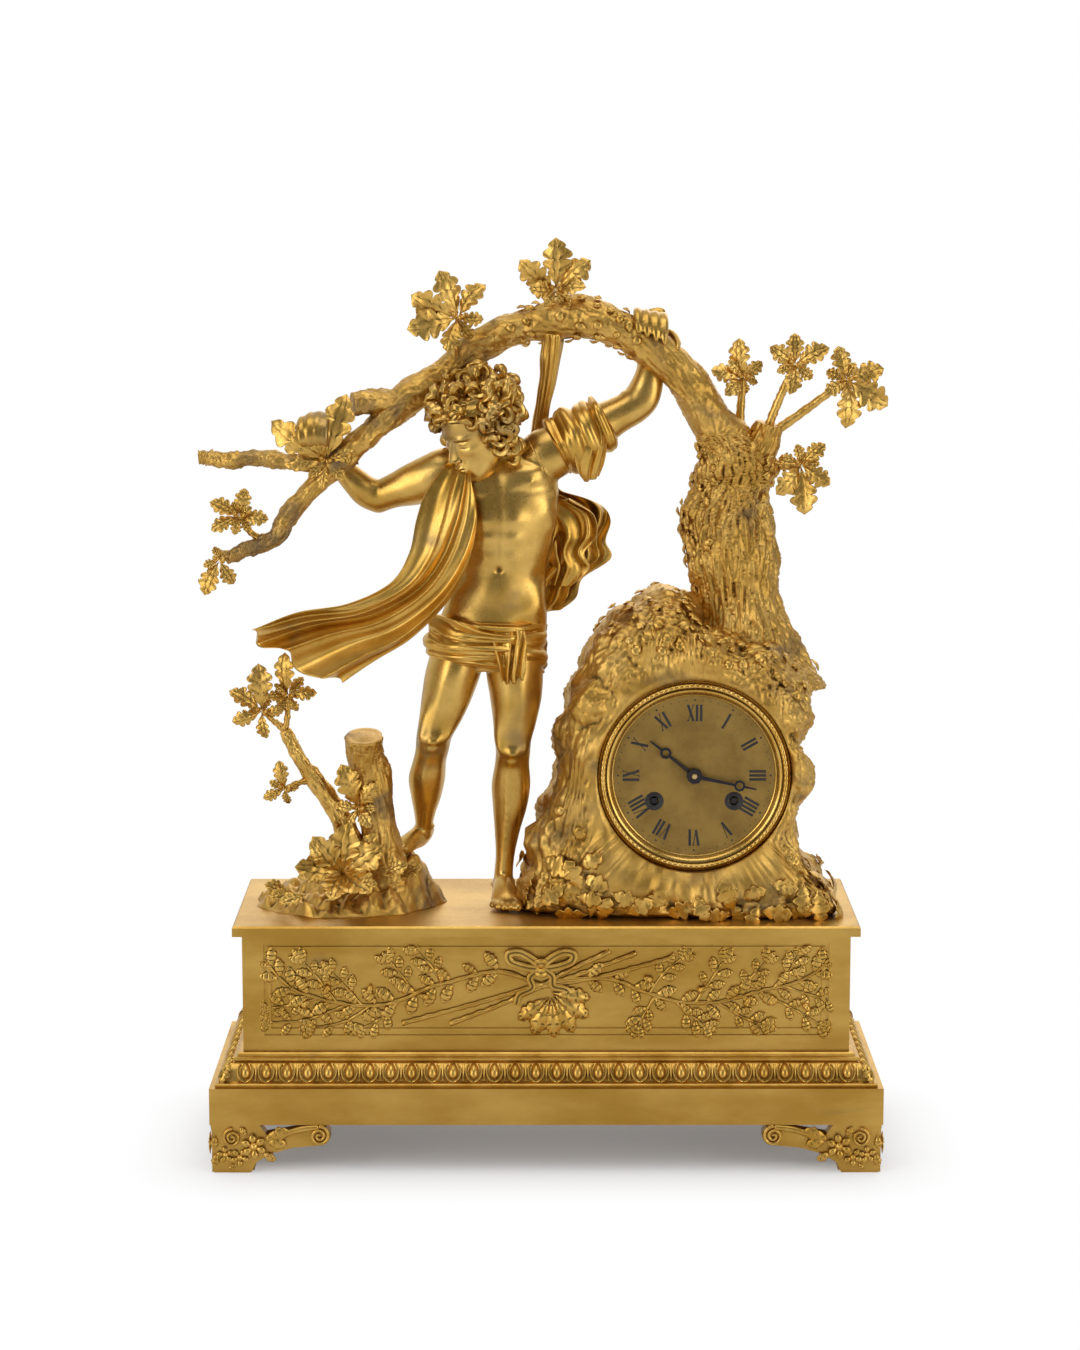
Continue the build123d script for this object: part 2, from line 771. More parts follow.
# Sprays of oak leaves, each with the twig that roots it, in shares of the bough's span
sprays = {
    "top_spray": (
        (
            (-0.316, -0.013, 0.665),
            (-0.350, -0.020, 0.692),
            (
                (-0.350, -0.027, 0.793),
                (-0.417, -0.047, 0.749),
                (-0.286, -0.040, 0.749),
                (-0.393, -0.060, 0.700),
                (-0.290, -0.060, 0.704),
            ),
        ),
    ),
    "left_spray": (
        (
            (-0.540, 0.008, 0.562),
            (-0.533, -0.035, 0.645),
            (
                (-0.566, -0.047, 0.734),
                (-0.481, -0.027, 0.706),
                (-0.626, -0.060, 0.623),
                (-0.551, -0.080, 0.583),
                (-0.619, -0.040, 0.686),
            ),
        ),
    ),
    "hand_spray": (
        (
            (-0.774, -0.060, 0.385),
            (-0.796, -0.085, 0.400),
            (
                (-0.760, -0.075, 0.507),
                (-0.880, -0.085, 0.455),
                (-0.862, -0.100, 0.392),
                (-0.787, -0.105, 0.340),
            ),
        ),
    ),
    "tip_sprays": (
        (
            (-0.900, -0.067, 0.228),
            (-0.943, -0.085, 0.277),
            (
                (-0.932, -0.080, 0.330),
                (-1.000, -0.080, 0.303),
                (-0.997, -0.090, 0.252),
                (-0.888, -0.090, 0.270),
            ),
        ),
        (
            (-0.965, -0.067, 0.197),
            (-0.985, -0.070, 0.190),
            (
                (-1.013, -0.080, 0.126),
                (-0.955, -0.060, 0.145),
            ),
        ),
    ),
    "right_sprays": (
        (
            (0.066, -0.005, 0.380),
            (0.099, -0.027, 0.556),
            (
                (0.098, -0.027, 0.616),
                (0.050, -0.047, 0.590),
                (0.163, -0.040, 0.588),
                (0.088, -0.060, 0.503),
            ),
        ),
        (
            (0.084, -0.017, 0.478),
            (0.194, -0.040, 0.529),
            (
                (0.179, -0.027, 0.592),
                (0.264, -0.047, 0.550),
                (0.275, -0.047, 0.480),
                (0.192, -0.060, 0.441),
            ),
        ),
        (
            (0.060, -0.008, 0.370),
            (0.110, -0.040, 0.369),
            (
                (0.155, -0.045, 0.410),
                (0.166, -0.050, 0.332),
                (0.119, -0.058, 0.276),
                (0.062, -0.075, 0.315),
            ),
        ),
        (
            (-0.002, 0.000, 0.385),
            (0.006, 0.010, 0.535),
            (
                (-0.004, 0.005, 0.605),
                (0.040, 0.000, 0.560),
                (-0.057, -0.005, 0.545),
            ),
        ),
    ),
}
spray_parts = {}
for spray_name, branches in sprays.items():
    with BuildPart() as spray:
        for root, hub, tips in branches:
            add(casting(twig(tree_point(root), tree_point(hub))))
            for k, tip in enumerate(tips):
                tilt = 0.5 if k % 2 else -0.4
                extrude(leaf(tree_point(hub), tree_point(tip), tilt), amount=leaf_thickness / 2, both=True)
        add(bough.part, mode=Mode.SUBTRACT)
        add(tree_trunk.part, mode=Mode.SUBTRACT)
    spray.part.label = spray_name
    export_step(spray.part, f"parts/{spray_name}.step")
    spray_parts[spray_name] = spray.part

# Mound: a flat cast plate with a heap of earth on it
mound_plate_outline_shares = (
    (1.0, 0.1),
    (0.9, 0.55),
    (0.55, 0.9),
    (0.0, 1.0),
    (-0.5, 0.8),
    (-0.85, 0.5),
    (-1.0, -0.1),
    (-0.82, -0.6),
    (-0.45, -0.9),
    (0.05, -1.0),
    (0.6, -0.85),
    (0.92, -0.45),
)
mound_shares = (
    (0.0, 0.36, 0.60, 0.80),
    (0.55, 0.38, 0.56, 0.72),
    (0.85, 0.42, 0.46, 0.58),
    (1.0, 0.44, 0.34, 0.42),
)
with BuildPart() as mound:
    half_wide = mound_width / 2
    half_deep = mound_depth / 2
    plate = []
    for level, share in ((0.0, 1.0), (0.6, 0.98), (1.0, 0.90)):
        place = (mound_x, 0, slab_top + level * mound_plate)
        plate.append(
            ring(place, (0, 0, 1), share * half_wide, share * half_deep, outline=mound_plate_outline_shares)
        )
    add(casting(plate))
    heap = []
    for level, shift, wide, deep in mound_shares:
        place = (mound_x + shift * half_wide, 0, slab_top + level * mound_height)
        heap.append(
            ring(place, (0, 0, 1), wide * half_wide, deep * half_deep, outline=mound_plate_outline_shares)
        )
    add(casting(heap))
mound.part.label = "mound"
export_step(mound.part, "parts/mound.step")


def mound_point(share):
    """A place on the mound: x and y in shares of its half sizes, z in shares of the mound's height."""
    sx, sy, sz = share
    return (
        mound_x + sx * mound_width / 2,
        sy * mound_depth / 2,
        slab_top + sz * mound_height,
    )



# Figure: sections in shares of its height, then across and deep
torso_shares = (
    (-0.038, 0.010, 0.458, 0.074, 0.049),
    (-0.031, 0.006, 0.504, 0.104, 0.061),
    (-0.018, 0.000, 0.578, 0.095, 0.053),
    (-0.012, -0.003, 0.643, 0.092, 0.052),
    (-0.010, -0.006, 0.704, 0.100, 0.060),
    (-0.012, -0.003, 0.762, 0.107, 0.061),
    (-0.017, 0.003, 0.811, 0.105, 0.047),
    (-0.020, 0.006, 0.840, 0.055, 0.036),
    (-0.035, -0.010, 0.866, 0.037, 0.036),
)
torso_leans = (0, 0, 0, 0, 3, 8, 13, 6, -14)
bent_leg_shares = (
    (-0.080, 0.010, 0.497, 0.050, 0.052),
    (-0.102, 0.003, 0.429, 0.052, 0.055),
    (-0.120, 0.000, 0.358, 0.042, 0.045),
    (-0.135, -0.010, 0.319, 0.032, 0.037),
    (-0.139, -0.006, 0.290, 0.030, 0.034),
    (-0.150, 0.013, 0.241, 0.036, 0.037),
    (-0.153, 0.032, 0.190, 0.028, 0.031),
    (-0.158, 0.055, 0.130, 0.017, 0.022),
)
bent_foot_shares = (
    (-0.150, 0.082, 0.128, 0.014, 0.017),
    (-0.161, 0.061, 0.118, 0.019, 0.026),
    (-0.177, 0.039, 0.108, 0.021, 0.024),
    (-0.196, 0.013, 0.098, 0.022, 0.017),
    (-0.213, -0.010, 0.094, 0.018, 0.010),
)
standing_leg_shares = (
    (0.016, 0.006, 0.497, 0.050, 0.053),
    (0.012, 0.000, 0.423, 0.055, 0.057),
    (0.016, -0.003, 0.364, 0.046, 0.049),
    (0.012, -0.010, 0.326, 0.036, 0.039),
    (0.011, -0.010, 0.300, 0.034, 0.036),
    (0.009, 0.000, 0.267, 0.033, 0.036),
    (0.007, 0.010, 0.219, 0.039, 0.039),
    (0.004, 0.013, 0.164, 0.030, 0.032),
    (-0.004, 0.013, 0.106, 0.022, 0.024),
    (-0.007, 0.016, 0.060, 0.021, 0.026),
    (-0.007, 0.019, 0.024, 0.023, 0.031),
)
standing_foot_shares = (
    (-0.009, 0.045, 0.016, 0.019, 0.018),
    (-0.008, 0.026, 0.021, 0.024, 0.026),
    (-0.006, -0.006, 0.022, 0.027, 0.027),
    (-0.002, -0.042, 0.013, 0.031, 0.019),
    (-0.001, -0.068, 0.008, 0.033, 0.013),
    (0.000, -0.087, 0.005, 0.024, 0.009),
)


def upright_rings(table, grow=0.0, leans=None):
    """Level sections of an upright limb, each leaned by its angle."""
    leans = leans or [0] * len(table)
    sections = []
    for (place, wide, deep), lean in zip(body_stations(table, grow), leans):
        turn = math.radians(lean)
        across = (math.cos(turn), 0, math.sin(turn))
        up = (-math.sin(turn), 0, math.cos(turn))
        sections.append(ring(place, up, wide, deep, limb_sides, across))
    return sections


with BuildPart() as figure_body:
    add(casting(upright_rings(torso_shares, leans=torso_leans)))
    add(casting(upright_rings(bent_leg_shares)))
    add(casting(upright_rings(standing_leg_shares)))
    add(casting(rings(body_stations(bent_foot_shares), limb_sides, across=(1, 0, 0))))
    add(casting(rings(body_stations(standing_foot_shares), limb_sides, across=(1, 0, 0))))
    split(bisect_by=Plane.XY.offset(slab_top), keep=Keep.TOP)
    add(mound.part, mode=Mode.SUBTRACT)
figure_body.part.label = "figure_body"
export_step(figure_body.part, "parts/figure_body.step")

# Sawn stump and sapling beside the figure, and the leaves that lie on the mound
stump_shares = (
    (0.40, -0.14, 0.60, 0.26),
    (0.37, -0.14, 1.00, 0.21),
    (0.30, -0.17, 1.80, 0.185),
    (0.24, -0.22, 2.70, 0.18),
    (0.19, -0.28, 3.58, 0.182),
)
stump_knot_shares = ((0.30, -0.20, 2.00, 0.08), (0.14, -0.34, 2.35, 0.07), (0.05, -0.40, 2.62, 0.055))
with BuildPart() as sawn_stump:
    stations = [
        (mound_point(row[:3]), row[3] * mound_width / 2, row[3] * mound_width / 2) for row in stump_shares
    ]
    add(casting(rings(stations, bark_sides)))
    add(mound.part, mode=Mode.SUBTRACT)
    add(figure_body.part, mode=Mode.SUBTRACT)
sawn_stump.part.label = "sawn_stump"
export_step(sawn_stump.part, "parts/sawn_stump.step")

sapling_shares = (
    (0.10, -0.20, 0.70, 0.125),
    (0.02, -0.24, 1.40, 0.110),
    (-0.17, -0.29, 2.18, 0.092),
    (-0.46, -0.33, 3.02, 0.074),
    (-0.61, -0.33, 3.62, 0.060),
)
sapling_twigs = (
    (
        (-0.61, -0.33, 3.60),
        (-0.84, -0.36, 4.00),
        ((-1.06, -0.40, 3.86), (-0.86, -0.36, 4.72), (-1.08, -0.38, 4.32)),
    ),
    (
        (-0.61, -0.33, 3.60),
        (-0.58, -0.30, 4.30),
        ((-0.60, -0.28, 4.95), (-0.36, -0.34, 4.36), (-0.74, -0.40, 4.30)),
    ),
    (
        (-0.30, -0.31, 2.60),
        (-0.62, -0.36, 2.42),
        ((-0.78, -0.40, 2.30), (-0.66, -0.36, 2.86)),
    ),
    (
        (0.00, -0.25, 1.60),
        (0.12, -0.42, 2.05),
        ((0.00, -0.50, 2.74), (0.26, -0.52, 2.46), (0.22, -0.56, 1.80)),
    ),
)
with BuildPart() as sapling:
    stations = [
        (mound_point(row[:3]), row[3] * mound_width / 2, row[3] * mound_width / 2) for row in sapling_shares
    ]
    add(casting(rings(stations, limb_sides)))
    for root, hub, tips in sapling_twigs:
        add(casting(twig(mound_point(root), mound_point(hub))))
        for k, tip in enumerate(tips):
            tilt = 0.45 if k % 2 else -0.35
            extrude(leaf(mound_point(hub), mound_point(tip), tilt), amount=leaf_thickness / 2, both=True)
    add(mound.part, mode=Mode.SUBTRACT)
    add(sawn_stump.part, mode=Mode.SUBTRACT)
sapling.part.label = "sapling"
export_step(sapling.part, "parts/sapling.step")

ground_leaf_hub = (-0.04, -0.50, 0.72)
ground_leaf_tips = (
    (-0.46, -0.66, 0.92),
    (-0.30, -0.62, 1.46),
    (0.02, -0.58, 1.70),
    (0.34, -0.66, 1.30),
    (0.24, -0.96, 0.55),
    (-0.12, -1.00, 0.42),
)
with BuildPart() as ground_leaves:
    for k, tip in enumerate(ground_leaf_tips):
        tilt = 0.3 if k % 2 else -0.3
        extrude(leaf(mound_point(ground_leaf_hub), mound_point(tip), tilt), amount=leaf_thickness, both=True)
    for piece in (mound, sawn_stump, sapling):
        add(piece.part, mode=Mode.SUBTRACT)
ground_leaves.part.label = "ground_leaves"
export_step(ground_leaves.part, "parts/ground_leaves.step")

# Head: a plain oval face under a cap of curls, bent towards the raised cloak
face_shares = (
    (-0.058, -0.040, 0.800, 0.018, 0.022),
    (-0.059, -0.042, 0.816, 0.038, 0.044),
    (-0.060, -0.042, 0.840, 0.052, 0.058),
    (-0.060, -0.040, 0.868, 0.060, 0.066),
    (-0.060, -0.036, 0.895, 0.062, 0.066),
)
hair_shares = (
    (-0.040, -0.012, 0.848, 0.056, 0.044),
    (-0.048, -0.022, 0.872, 0.080, 0.062),
    (-0.056, -0.032, 0.898, 0.090, 0.076),
    (-0.060, -0.036, 0.928, 0.089, 0.080),
    (-0.060, -0.036, 0.958, 0.074, 0.068),
    (-0.058, -0.034, 0.984, 0.048, 0.046),
    (-0.056, -0.032, 0.999, 0.020, 0.020),
)
curl_sides = 10
curl_outline_shares = tuple(
    (
        (1.0 if k % 2 else 0.9) * math.cos(2 * math.pi * k / curl_sides),
        (1.0 if k % 2 else 0.9) * math.sin(2 * math.pi * k / curl_sides),
    )
    for k in range(curl_sides)
)
nose_share = 0.022
with BuildPart() as figure_head:
    add(casting(upright_rings(face_shares)))
    hair = [
        ring(place, (0, 0, 1), wide, deep, outline=curl_outline_shares)
        for place, wide, deep in body_stations(hair_shares)
    ]
    add(casting(hair))
    brow = body_point((-0.066, -0.100, 0.862))
    nose = nose_share * figure_height
    with BuildSketch(Plane(origin=brow, x_dir=(0, -1, 0), z_dir=(1, 0, 0))):
        Polygon((-nose, 0), (0.5 * nose, -1.8 * nose), (-nose, -2.1 * nose), align=None)
    extrude(amount=0.35 * nose, both=True)
    add(figure_body.part, mode=Mode.SUBTRACT)
    add(bough.part, mode=Mode.SUBTRACT)
figure_head.part.label = "figure_head"
export_step(figure_head.part, "parts/figure_head.step")

# Arms: each hand holds the bough, so the wrists and hands take their places from the tree
right_arm_shares = (
    (-0.100, 0.004, 0.806, 0.037, 0.040),
    (-0.154, 0.010, 0.788, 0.040, 0.040),
    (-0.200, 0.019, 0.772, 0.034, 0.034),
    (-0.239, 0.026, 0.759, 0.027, 0.028),
    (-0.261, 0.026, 0.767, 0.027, 0.028),
    (-0.284, 0.018, 0.793, 0.027, 0.027),
)
left_arm_shares = (
    (0.060, 0.003, 0.828, 0.040, 0.042),
    (0.105, 0.010, 0.857, 0.045, 0.044),
    (0.150, 0.016, 0.882, 0.042, 0.041),
    (0.205, 0.023, 0.910, 0.033, 0.033),
    (0.244, 0.026, 0.932, 0.031, 0.032),
    (0.253, 0.026, 0.963, 0.028, 0.029),
)
right_hand_shares = (
    (-0.762, -0.025, 0.378, 0.019),
    (-0.772, -0.045, 0.420, 0.024),
    (-0.800, -0.062, 0.444, 0.026),
    (-0.838, -0.075, 0.440, 0.022),
)
left_hand_shares = (
    (-0.172, 0.032, 0.560, 0.020),
    (-0.162, 0.036, 0.610, 0.024),
    (-0.158, 0.016, 0.640, 0.026),
    (-0.158, -0.016, 0.640, 0.022),
)


def arm_rings(arm_table, hand_table, across):
    """Sections of an arm from the shoulder on the body to the hand on the bough."""
    return rings(body_stations(arm_table) + tree_stations(hand_table), limb_sides, across)


with BuildPart() as right_arm:
    add(casting(arm_rings(right_arm_shares, right_hand_shares, (0, 1, 0))))
    for piece in (figure_body, bough, tree_trunk):
        add(piece.part, mode=Mode.SUBTRACT)
    add(spray_parts["hand_spray"], mode=Mode.SUBTRACT)
right_arm.part.label = "right_arm"
export_step(right_arm.part, "parts/right_arm.step")

with BuildPart() as left_arm:
    add(casting(arm_rings(left_arm_shares, left_hand_shares, (1, 0, 0))))
    for piece in (figure_body, figure_head, bough, tree_trunk):
        add(piece.part, mode=Mode.SUBTRACT)
left_arm.part.label = "left_arm"
export_step(left_arm.part, "parts/left_arm.step")

# Cloths: sheets with folds, drawn as wavy strips
fold_count = 5


def fold_strip(start, end, depth, thickness):
    """A wavy strip from one edge of the cloth to the other, its folds deepest towards the front."""
    first, last = Vector(*start), Vector(*end)
    width = (last - first).length
    steps = 2 * fold_count
    front = []
    for k in range(steps + 1):
        front.append((width * k / steps, depth if k % 2 else -depth))
    back = [(u, v - thickness) for u, v in reversed(front)]
    run = (last - first).normalized()
    up = run.cross(Vector(0, -1, 0)).normalized()
    plane = Plane(origin=start, x_dir=run, z_dir=up)
    return [plane.from_local_coords((u, v, 0)) for u, v in (*front, *back)]


# Rows: one edge of the cloth, the other edge, then the depth of its folds
cloak_shares = (
    ((-0.122, -0.036, 0.802), (-0.082, -0.062, 0.784), 0.004),
    ((-0.165, -0.078, 0.709), (-0.092, -0.085, 0.700), 0.008),
    ((-0.190, -0.085, 0.640), (-0.110, -0.085, 0.622), 0.010),
    ((-0.268, -0.085, 0.578), (-0.158, -0.082, 0.560), 0.011),
    ((-0.372, -0.080, 0.556), (-0.250, -0.078, 0.490), 0.012),
    ((-0.475, -0.075, 0.518), (-0.345, -0.070, 0.432), 0.011),
)
cloak_back_shares = (
    ((-0.010, 0.012, 0.775), (0.105, 0.066, 0.780), 0.004),
    ((-0.010, 0.010, 0.720), (0.176, 0.080, 0.745), 0.010),
    ((-0.010, 0.008, 0.660), (0.186, 0.082, 0.690), 0.012),
    ((0.000, 0.008, 0.615), (0.182, 0.078, 0.636), 0.010),
    ((0.030, 0.016, 0.560), (0.130, 0.064, 0.600), 0.006),
)
with BuildPart() as cloak:
    strips = [
        fold_strip(body_point(edge), body_point(other), depth * figure_height, cloth_thickness)
        for edge, other, depth in cloak_shares
    ]
    add(casting(strips))
    for piece in (figure_body, figure_head, right_arm):
        add(piece.part, mode=Mode.SUBTRACT)
cloak.part.label = "cloak"
export_step(cloak.part, "parts/cloak.step")

with BuildPart() as cloak_back:
    strips = [
        fold_strip(body_point(edge), body_point(other), depth * figure_height, cloth_thickness)
        for edge, other, depth in cloak_back_shares
    ]
    add(casting(strips))
    for piece in (figure_body, left_arm):
        add(piece.part, mode=Mode.SUBTRACT)
cloak_back.part.label = "cloak_back"
export_step(cloak_back.part, "parts/cloak_back.step")

strap_shares = (
    (0.052, 0.045, 0.842, 0.010, 0.014),
    (0.064, 0.050, 0.905, 0.012, 0.018),
    (0.078, 0.045, 0.985, 0.014, 0.026),
    (0.084, 0.036, 1.055, 0.016, 0.028),
)
with BuildPart() as cloak_strap:
    add(casting(rings(body_stations(strap_shares), 8)))
    for piece in (figure_body, left_arm, bough, figure_head):
        add(piece.part, mode=Mode.SUBTRACT)
cloak_strap.part.label = "cloak_strap"
export_step(cloak_strap.part, "parts/cloak_strap.step")

arm_band = left_arm_shares[1:4]
with BuildPart() as arm_drape:
    add(casting(rings(body_stations(arm_band, grow=cloth_thickness), limb_sides)))
    for piece in (left_arm, figure_body, cloak_strap, figure_head):
        add(piece.part, mode=Mode.SUBTRACT)
arm_drape.part.label = "arm_drape"
export_step(arm_drape.part, "parts/arm_drape.step")

loincloth_shares = (
    (-0.060, 0.008, 0.446, 0.110, 0.070),
    (-0.052, 0.006, 0.480, 0.104, 0.072),
    (-0.048, 0.004, 0.512, 0.098, 0.069),
)
with BuildPart() as loincloth:
    add(casting(upright_rings(loincloth_shares, leans=(-14, -10, -6))))
    add(figure_body.part, mode=Mode.SUBTRACT)
loincloth.part.label = "loincloth"
export_step(loincloth.part, "parts/loincloth.step")

# Bezel: a ring with a rim, a hollow and a lip that holds the dial
bezel_profile = (
    (dial_radius + seat_gap, dial_seat_y),
    (bezel_radius, dial_seat_y),
    (bezel_radius, dial_seat_y - 0.6 * bezel_height),
    (bezel_radius - 0.35 * bezel_height, dial_seat_y - bezel_height),
    (bezel_lip + 0.6 * bezel_height, dial_seat_y - 0.65 * bezel_height),
    (bezel_lip, dial_seat_y - dial_thickness),
    (dial_radius + seat_gap, dial_seat_y - dial_thickness),
)
with BuildPart() as bezel:
    add(turned(bezel_profile, (dial_x, dial_z), face_sides))
bezel.part.label = "bezel"
export_step(bezel.part, "parts/bezel.step")

# Arbor places, to the right and up from the dial's centre
centre = (0.0, 0.0)
going_barrel_place = (winding_spread, -winding_drop)
strike_barrel_place = (-winding_spread, -winding_drop)
barrel_mesh = barrel_module * (barrel_teeth + barrel_pinion_teeth) / 2
train_mesh = train_module * (wheel_teeth + train_pinion_teeth) / 2
upper_mesh = upper_module * (wheel_teeth + train_pinion_teeth) / 2
second_place = meeting(centre, going_barrel_place, train_mesh, barrel_mesh)
third_place = (
    train_mesh * math.cos(math.radians(third_bearing)),
    train_mesh * math.sin(math.radians(third_bearing)),
)
escape_place = (0.0, third_place[1] + math.sqrt(upper_mesh**2 - third_place[0] ** 2))
pallet_place = (0.0, escape_place[1] + pallet_arbor_rise)
count_place = (
    strike_barrel_place[0] + barrel_mesh * math.cos(math.radians(count_bearing)),
    strike_barrel_place[1] + barrel_mesh * math.sin(math.radians(count_bearing)),
)
pin_place = (
    count_place[0] + train_mesh * math.cos(math.radians(pin_bearing)),
    count_place[1] + train_mesh * math.sin(math.radians(pin_bearing)),
)
fly_place = (
    pin_place[0] + upper_mesh * math.cos(math.radians(fly_bearing)),
    pin_place[1] + upper_mesh * math.sin(math.radians(fly_bearing)),
)
minute_pinion_teeth = 6
cannon_teeth = 8
minute_wheel_teeth = 24
motion_mesh = motion_module * (cannon_teeth + minute_wheel_teeth) / 2
minute_place = (0.0, -motion_mesh)
hour_module = 2 * motion_mesh / (minute_pinion_teeth + minute_wheel_teeth)
hammer_place = (-38.0, 4.0)

# Dial, with its two feet on the front plate
dial_foot_circle = 33.0
dial_foot_radius = 1.5
with BuildPart() as dial:
    with BuildSketch(facing(dial_seat_y)):
        RegularPolygon(dial_radius, face_sides)
        RegularPolygon(pipe_radius + air_gap, round_sides // 2, mode=Mode.SUBTRACT)
        with Locations(going_barrel_place, strike_barrel_place):
            RegularPolygon(winding_hole_radius, round_sides, mode=Mode.SUBTRACT)
    extrude(amount=dial_thickness)
    with BuildSketch(facing(front_plate_y)):
        with PolarLocations(dial_foot_circle, 2, start_angle=90):
            shaft(dial_foot_radius)
    extrude(amount=motion_room)
dial.part.label = "dial"
export_step(dial.part, "parts/dial.step")

# Plates: the front one carries the pillars
def plate_holes(places):
    """The pivot holes of a plate."""
    shaft_hole(centre_radius)
    with Locations(going_barrel_place, strike_barrel_place):
        shaft_hole(winding_radius)
    with Locations(*places):
        shaft_hole(arbor_radius)


train_places = (second_place, third_place, escape_place, pallet_place, count_place, pin_place, fly_place)
with BuildPart() as front_plate:
    with BuildSketch(facing(front_plate_y + plate_thickness)):
        RegularPolygon(plate_radius, plate_sides)
        plate_holes(train_places)
    extrude(amount=plate_thickness)
    with BuildSketch(facing(back_plate_y)):
        for angle in pillar_angles:
            with PolarLocations(pillar_circle, 1, start_angle=angle):
                shaft(pillar_radius)
    extrude(amount=plate_gap)
    with BuildSketch(facing(front_plate_y, *minute_place)):
        shaft(arbor_radius)
    extrude(amount=motion_room - air_gap)
front_plate.part.label = "front_plate"
export_step(front_plate.part, "parts/front_plate.step")

with BuildPart() as back_plate:
    with BuildSketch(facing(back_plate_y + plate_thickness)):
        RegularPolygon(plate_radius, plate_sides)
        plate_holes((*train_places, hammer_place))
    extrude(amount=plate_thickness)
back_plate.part.label = "back_plate"
export_step(back_plate.part, "parts/back_plate.step")

plates_back = back_plate_y + plate_thickness
plates_front = front_plate_y
barrel_front = back_plate_y - drum_gap - barrel_length
great_wheel_y = back_plate_y - great_wheel_gap


# Barrels: a drum with its toothed great wheel, turning on its winding arbor
def barrel(place, tooth_at):
    """A barrel at its arbor's place, with a great wheel's tooth at an angle."""
    with BuildPart() as built:
        with BuildSketch(facing(barrel_front + barrel_length, *place)):
            RegularPolygon(barrel_drum_radius, round_sides)
        extrude(amount=barrel_length)
        with BuildSketch(facing(great_wheel_y, *place)):
            teeth(barrel_teeth, barrel_module, tooth_at)
        extrude(amount=great_wheel_y - barrel_front - barrel_length)
        with BuildSketch(facing(great_wheel_y, *place)):
            shaft_hole(winding_radius, Mode.ADD)
        extrude(amount=plate_gap, mode=Mode.SUBTRACT)
    return built


def winding_arbor(place):
    """A barrel's arbor, with the square that the key turns behind the dial's hole."""
    with BuildPart() as built:
        with BuildSketch(facing(plates_back, *place)):
            shaft(winding_radius)
        extrude(amount=plates_back - plates_front + air_gap)
        with BuildSketch(facing(plates_front - air_gap, *place)):
            Rectangle(winding_square, winding_square)
        extrude(amount=motion_room - air_gap)
    return built


going_barrel = barrel(going_barrel_place, bearing(going_barrel_place, second_place))
going_barrel.part.label = "going_barrel"
export_step(going_barrel.part, "parts/going_barrel.step")
strike_barrel = barrel(strike_barrel_place, bearing(strike_barrel_place, count_place))
strike_barrel.part.label = "strike_barrel"
export_step(strike_barrel.part, "parts/strike_barrel.step")
going_winding_arbor = winding_arbor(going_barrel_place)
going_winding_arbor.part.label = "going_winding_arbor"
export_step(going_winding_arbor.part, "parts/going_winding_arbor.step")
strike_winding_arbor = winding_arbor(strike_barrel_place)
strike_winding_arbor.part.label = "strike_winding_arbor"
export_step(strike_winding_arbor.part, "parts/strike_winding_arbor.step")


# Train wheels: each has an arbor between the plates, a wheel and a pinion
def train_wheel(place, wheel, pinion):
    """An arbor with a wheel and a pinion, each given as teeth, module, tooth angle, back and width."""
    with BuildPart() as built:
        with BuildSketch(facing(plates_back, *place)):
            shaft(arbor_radius)
        extrude(amount=plates_back - plates_front)
        for count, module, tooth_at, back, width in (wheel, pinion):
            with BuildSketch(facing(back, *place)):
                teeth(count, module, tooth_at)
            extrude(amount=width)
    return built


front_level = front_plate_y + plate_thickness + front_wheel_gap
rear_level = back_plate_y - rear_wheel_gap
third_level = front_level + third_wheel_rise
escape_level = back_plate_y - escape_wheel_gap
pin_level = front_level + pin_wheel_rise
pinion_lap = (pinion_length - wheel_thickness) / 2
great_wheel_thickness = great_wheel_y - barrel_front - barrel_length

second_wheel = train_wheel(
    second_place,
    (wheel_teeth, train_module, bearing(second_place, centre), front_level, wheel_thickness),
    (
        barrel_pinion_teeth,
        barrel_module,
        gap_toward(barrel_pinion_teeth, bearing(second_place, going_barrel_place)),
        great_wheel_y + pinion_lap,
        great_wheel_thickness + 2 * pinion_lap,
    ),
)
second_wheel.part.label = "second_wheel"
export_step(second_wheel.part, "parts/second_wheel.step")

third_wheel = train_wheel(
    third_place,
    (wheel_teeth, upper_module, bearing(third_place, escape_place), third_level, wheel_thickness),
    (
        train_pinion_teeth,
        train_module,
        gap_toward(train_pinion_teeth, bearing(third_place, centre)),
        rear_level + pinion_lap,
        pinion_length,
    ),
)
third_wheel.part.label = "third_wheel"
export_step(third_wheel.part, "parts/third_wheel.step")

escape_wheel = train_wheel(
    escape_place,
    (escape_teeth, escape_module, 90, escape_level, wheel_thickness),
    (
        train_pinion_teeth,
        upper_module,
        gap_toward(train_pinion_teeth, bearing(escape_place, third_place)),
        third_level + pinion_lap,
        pinion_length,
    ),
)
escape_wheel.part.label = "escape_wheel"
export_step(escape_wheel.part, "parts/escape_wheel.step")

